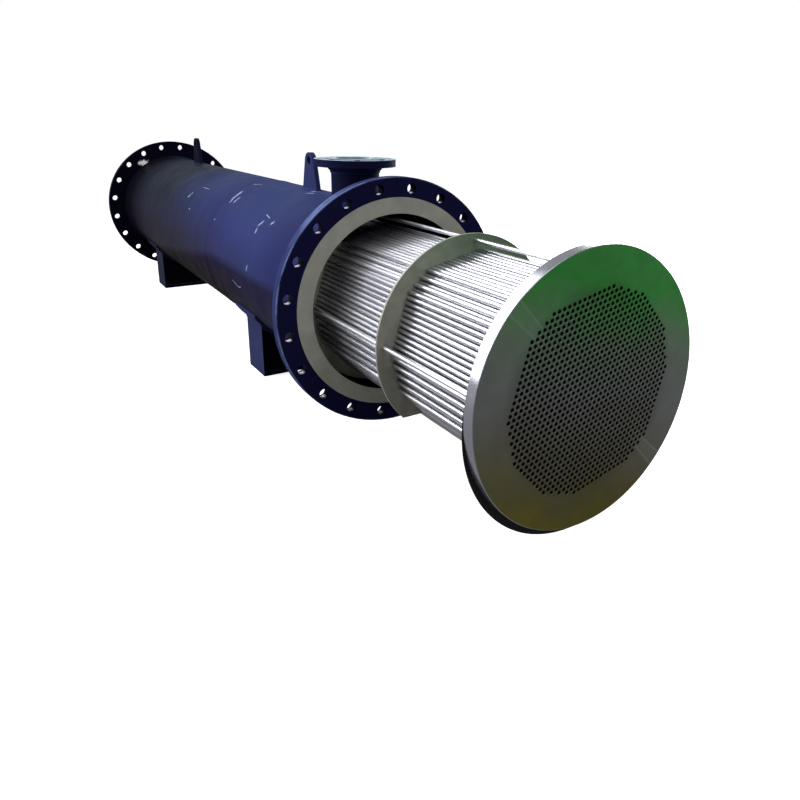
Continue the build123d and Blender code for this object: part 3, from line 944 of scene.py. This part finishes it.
def make_tie_rods(material):
    """Round tie rods, each with a nut behind the last baffle."""
    last_low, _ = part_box(f"baffle_{BAFFLE_COUNT}")
    for node in ROD_NAMES:
        low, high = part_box(node)
        centre = ((low.y + high.y) / 2, (low.z + high.z) / 2)
        profile = [
            (low.x, ROD_RADIUS - ROD_CHAMFER),
            (low.x + ROD_CHAMFER, ROD_RADIUS),
            (high.x, ROD_RADIUS),
        ]
        points, faces = turned(profile, centre, ROD_SIDES)
        piece = new_piece(f"{node}_round", points, faces, material, "bundle", 40)
        set_tones(piece, [ROD_TONE] * len(points))
        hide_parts(node)
        nut_front = last_low.x - ROD_HOLE_GAP
        nut_reach = NUT_WIDTH / math.sqrt(3)
        nut_profile = rim_stations(nut_front - NUT_HEIGHT, nut_front, nut_reach, ROD_CHAMFER)
        points, faces = turned(nut_profile, centre, 6)
        nut = new_piece(f"{node}_nut", points, faces, material, "bundle", 20)
        set_tones(nut, [NUT_TONE] * len(points))


def even_path(corners, closed):
    """Points along a path at about one bead step, through its corners."""
    points = []
    ends = corners[1:] + corners[:1] if closed else corners[1:]
    for start, end in zip(corners, ends):
        count = max(1, round((end - start).length / BEAD_STEP))
        points += [start.lerp(end, step / count) for step in range(count)]
    if not closed:
        points.append(corners[-1])
    return points


def weld_bead(name, path, radius, material, closed=True, seed=1):
    """A rippled weld bead along a path."""
    draw = random.Random(seed)
    count = len(path)
    points, faces = [], []
    travelled = 0.0
    swell = draw.random()
    for number, place in enumerate(path):
        before = path[number - 1] if closed or number else place
        after = path[(number + 1) % count] if closed or number < count - 1 else place
        ahead = (after - before).normalized()
        side = ahead.cross(Vector((1, 0, 0))).normalized()
        if abs(ahead.x) > 0.9:
            side = ahead.orthogonal().normalized()
        upward = ahead.cross(side)
        travelled += (place - before).length
        swell += (draw.random() - swell) * 0.08
        ripple = abs(math.sin(math.pi * travelled / RIPPLE_LENGTH)) * RIPPLE_SHARE
        reach = radius * (0.86 + ripple + 0.16 * swell)
        for corner in range(BEAD_SIDES):
            angle = 2 * math.pi * corner / BEAD_SIDES
            points.append(place + reach * (math.cos(angle) * side + math.sin(angle) * upward))
    for number in range(count if closed else count - 1):
        here, there = number * BEAD_SIDES, (number + 1) % count * BEAD_SIDES
        for corner in range(BEAD_SIDES):
            after = (corner + 1) % BEAD_SIDES
            faces.append((here + corner, here + after, there + after, there + corner))
    if not closed:
        faces.append(tuple(reversed(range(BEAD_SIDES))))
        faces.append(tuple(range((count - 1) * BEAD_SIDES, count * BEAD_SIDES)))
    return new_piece(name, points, faces, material, "shell", 60)


def ring_path(x, radius):
    """A circle around the shell axis."""
    count = round(2 * math.pi * radius / BEAD_STEP)
    angles = [2 * math.pi * step / count for step in range(count)]
    return [Vector((x, radius * math.cos(a), AXIS_Z + radius * math.sin(a))) for a in angles]


def make_shell_welds(barrel, paint):
    """Beads where the barrel meets its flanges and its nozzle."""
    reach = BARREL_RADIUS + WELD_STANDOFF
    weld_bead("front_flange_weld", ring_path(FRONT_FLANGE_LOW.x, reach), FLANGE_WELD_RADIUS, barrel, seed=2)
    weld_bead("rear_flange_weld", ring_path(REAR_FLANGE_HIGH.x, reach), FLANGE_WELD_RADIUS, barrel, seed=3)
    course_path = ring_path(COURSE_WELD_X, BARREL_RADIUS - COURSE_WELD_SINK)
    weld_bead("course_weld", course_path, COURSE_WELD_RADIUS, barrel, seed=8)
    count = round(2 * math.pi * NECK_RADIUS / BEAD_STEP)
    path = []
    for step in range(count):
        angle = 2 * math.pi * step / count
        across = NECK_RADIUS * math.sin(angle)
        rise = math.sqrt(BARREL_RADIUS**2 - across**2)
        path.append(Vector((NOZZLE_X + NECK_RADIUS * math.cos(angle), across, AXIS_Z + rise)))
    weld_bead("nozzle_weld", path, FLANGE_WELD_RADIUS, paint, seed=4)
    hub_path = [Vector((point.x, point.y, NECK_HIGH.z)) for point in path]
    weld_bead("nozzle_neck_weld", hub_path, NECK_WELD_RADIUS, paint, seed=5)


def make_lug_welds(paint):
    """A bead around the foot of each lifting lug."""
    for number, node in enumerate(("front_lifting_lug", "rear_lifting_lug")):
        low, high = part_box(node)
        foot = AXIS_Z + math.sqrt(BARREL_RADIUS**2 - high.y**2)
        corners = [
            Vector((low.x, low.y, foot)),
            Vector((high.x, low.y, foot)),
            Vector((high.x, high.y, foot)),
            Vector((low.x, high.y, foot)),
        ]
        weld_bead(f"{node}_weld", even_path(corners, True), PLATE_WELD_RADIUS, paint, seed=6 + number)


def arc_points(x, radius, start, end):
    """Points of an arc around the shell axis, at about one bead step."""
    count = max(2, round(abs(end - start) * radius / BEAD_STEP))
    angles = [start + (end - start) * step / count for step in range(count + 1)]
    return [Vector((x, radius * math.cos(a), AXIS_Z + radius * math.sin(a))) for a in angles]


def make_saddle_welds(paint):
    """Beads around each wear plate, and where the webs meet the wear plate and the base."""
    for number, saddle in enumerate(("front_saddle", "rear_saddle")):
        low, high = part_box(f"{saddle}_wear_plate")
        half_angle = math.asin(high.y / (AXIS_Z - low.z))
        down = -math.pi / 2
        seat = BARREL_RADIUS + WELD_STANDOFF
        first = arc_points(low.x, seat, down - half_angle, down + half_angle)
        second = arc_points(high.x, seat, down + half_angle, down - half_angle)
        loop = first + even_path([first[-1], second[0]], False)[1:-1] + second
        loop += even_path([second[-1], first[0]], False)[1:-1]
        name = f"{saddle}_wear_plate_weld"
        weld_bead(name, loop, PLATE_WELD_RADIUS, paint, True, 20 + number)
        web_low, web_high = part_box(f"{saddle}_webs")
        wear_radius = AXIS_Z - low.z
        web_angle = math.asin(web_high.y / wear_radius)
        for side, x in (("front", web_high.x), ("back", web_low.x)):
            arc = arc_points(x, wear_radius, down - web_angle, down + web_angle)
            name = f"{saddle}_{side}_web_weld"
            weld_bead(name, arc, PLATE_WELD_RADIUS, paint, False, 30 + number)
            line = [Vector((x, web_low.y, web_low.z)), Vector((x, web_high.y, web_low.z))]
            name = f"{saddle}_{side}_foot_weld"
            path = even_path(line, False)
            weld_bead(name, path, FOOT_WELD_RADIUS, paint, False, 40 + number)


def dress(node, material, bevel):
    """Give a CAD node its finish, and soften its edges."""
    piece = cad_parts[node]
    piece.data.materials.clear()
    piece.data.materials.append(material)
    if bevel:
        modifier = piece.modifiers.new("edges", "BEVEL")
        modifier.width = bevel
        modifier.segments = 2
        modifier.limit_method = "ANGLE"
        modifier.angle_limit = math.radians(40)
        modifier.harden_normals = True


def make_floor(material):
    """A wide plain floor under the feet."""
    half = FLOOR_HALF_WIDTH
    corners = [(-half, -half, 0), (half, -half, 0), (half, half, 0), (-half, half, 0)]
    mesh = bpy.data.meshes.new("floor")
    mesh.from_pydata(corners, [], [(0, 1, 2, 3)])
    mesh.materials.append(material)
    floor = bpy.data.objects.new("floor", mesh)
    bpy.context.scene.collection.objects.link(floor)


def add_area_light(name, place, target, size, power, along=(1, 0, 0)):
    """A soft panel lamp; the first of its two sizes runs as nearly along the given direction as it can."""
    light = bpy.data.lights.new(name, "AREA")
    light.shape = "RECTANGLE"
    light.size, light.size_y = size
    light.energy = power
    lamp = bpy.data.objects.new(name, light)
    back = (Vector(place) - Vector(target)).normalized()
    right = (Vector(along) - Vector(along).project(back)).normalized()
    up = back.cross(right)
    lamp.matrix_world = Matrix.Translation(place) @ Matrix((right, up, back)).transposed().to_4x4()
    bpy.context.scene.collection.objects.link(lamp)


def make_light():
    """Soft studio light: wide lamps overhead and on both sides, a weak one in front and a slanted strip."""
    middle = (0.3, 0.0, AXIS_Z)
    add_area_light("overhead", (-0.6, -0.9, 4.2), middle, (3.8, 2.4), 120)
    add_area_light("near_side", (-1.3, -3.9, 1.5), (0.6, 0, 0.5), (2.6, 1.8), 90)
    add_area_light("far_side", (-0.7, 3.9, 1.5), (-0.4, 0.0, AXIS_Z), (3.0, 1.8), 150)
    add_area_light("front", (4.2, 0.2, 3.2), (1.2, 0.0, AXIS_Z), (2.4, 1.6), 30, (0, 1, 0))
    add_area_light("strip", (-0.63, -1.51, 2.31), (2.0, -0.3, 0.6), (2.4, 0.5), 42, (0.0, 0.77, 0.63))
    world = bpy.data.worlds.new("studio")
    bpy.context.scene.world = world
    world.use_nodes = True
    tree = world.node_tree
    background = tree.nodes["Background"]
    background.inputs["Color"].default_value = (1, 1, 1, 1)
    rays = tree.nodes.new("ShaderNodeLightPath")
    seen = tree.nodes.new("ShaderNodeMath")
    seen.operation = "MAXIMUM"
    tree.links.new(rays.outputs["Is Camera Ray"], seen.inputs[0])
    tree.links.new(rays.outputs["Is Transmission Ray"], seen.inputs[1])
    mirrored = tree.nodes.new("ShaderNodeMapRange")
    mirrored.inputs["To Min"].default_value = WORLD_SPREAD
    mirrored.inputs["To Max"].default_value = WORLD_MIRRORED
    tree.links.new(rays.outputs["Is Glossy Ray"], mirrored.inputs["Value"])
    strength = tree.nodes.new("ShaderNodeMath")
    strength.operation = "MAXIMUM"
    tree.links.new(seen.outputs[0], strength.inputs[0])
    tree.links.new(mirrored.outputs["Result"], strength.inputs[1])
    tree.links.new(strength.outputs[0], background.inputs["Strength"])


def make_camera():
    """The photograph's camera."""
    data = bpy.data.cameras.new("camera")
    data.sensor_width = SENSOR_WIDTH
    data.lens = FOCAL_PIXELS / IMAGE_SIZE * SENSOR_WIDTH
    data.shift_x = (IMAGE_SIZE / 2 - PRINCIPAL_X) / IMAGE_SIZE
    data.shift_y = (PRINCIPAL_Y - IMAGE_SIZE / 2) / IMAGE_SIZE
    data.clip_end = 100
    camera = bpy.data.objects.new("camera", data)
    back = -CAMERA_AHEAD.normalized()
    right = CAMERA_RIGHT.normalized()
    up = back.cross(right)
    camera.matrix_world = Matrix.Translation(CAMERA_PLACE) @ Matrix((right, up, back)).transposed().to_4x4()
    bpy.context.scene.collection.objects.link(camera)
    bpy.context.scene.camera = camera


def dress_shell():
    """Finishes of the nodes that keep their CAD shape."""
    paint = navy_paint("navy_paint")
    barrel = barrel_paint("barrel_paint")
    dress("shell_barrel", barrel, 0)
    # Face tones are painted shade, wall tones painted glints in the bolt holes; the last two numbers set
    # the painted highlight spot and the painted rim highlight.
    front_tones = (srgb(22, 23, 58), srgb(238, 235, 250))
    rear_tones = (srgb(5, 4, 18), srgb(40, 38, 60))
    front_paint = flange_paint("front_flange_paint", FRONT_FLANGE_HIGH.x, 1, *front_tones, 0.0, 0.8)
    rear_paint = flange_paint("rear_flange_paint", REAR_FLANGE_LOW.x, -1, *rear_tones, 0.95, 0.0)
    dress("front_flange", front_paint, FLANGE_BEVEL)
    dress("rear_flange", rear_paint, FLANGE_BEVEL)
    # The neck and the rear lug are painted darker as painted shade.
    dress("nozzle_neck", navy_paint("neck_shaded_paint", 0.65), 0)
    dress("nozzle_flange", nozzle_paint("nozzle_paint"), PLATE_BEVEL)
    dress("front_lifting_lug", paint, LUG_BEVEL)
    dress("rear_lifting_lug", navy_paint("rear_lug_shaded_paint", 0.75), LUG_BEVEL)
    saddle = saddle_paint("saddle_paint")
    for name in ("front_saddle", "rear_saddle"):
        for part in ("wear_plate", "webs", "side_plates", "base_plate"):
            dress(f"{name}_{part}", saddle, PLATE_BEVEL)
    dress("gasket_ring", gasket_sheet("gasket_sheet"), GASKET_BEVEL)
    make_shell_welds(barrel, paint)
    make_lug_welds(paint)
    make_saddle_welds(saddle)


make_camera()
make_light()
make_floor(floor_finish("floor_finish"))
dress_shell()
steel = tube_steel("tube_steel")
sheet_steel = tubesheet_steel("tubesheet_steel")
make_tubes(steel, sheet_steel, tube_bore("tube_bore"))
make_tie_rods(steel)
make_tubesheets(sheet_steel)
make_baffles(baffle_steel("baffle_steel"))
bpy.context.scene.view_settings.view_transform = "Standard"
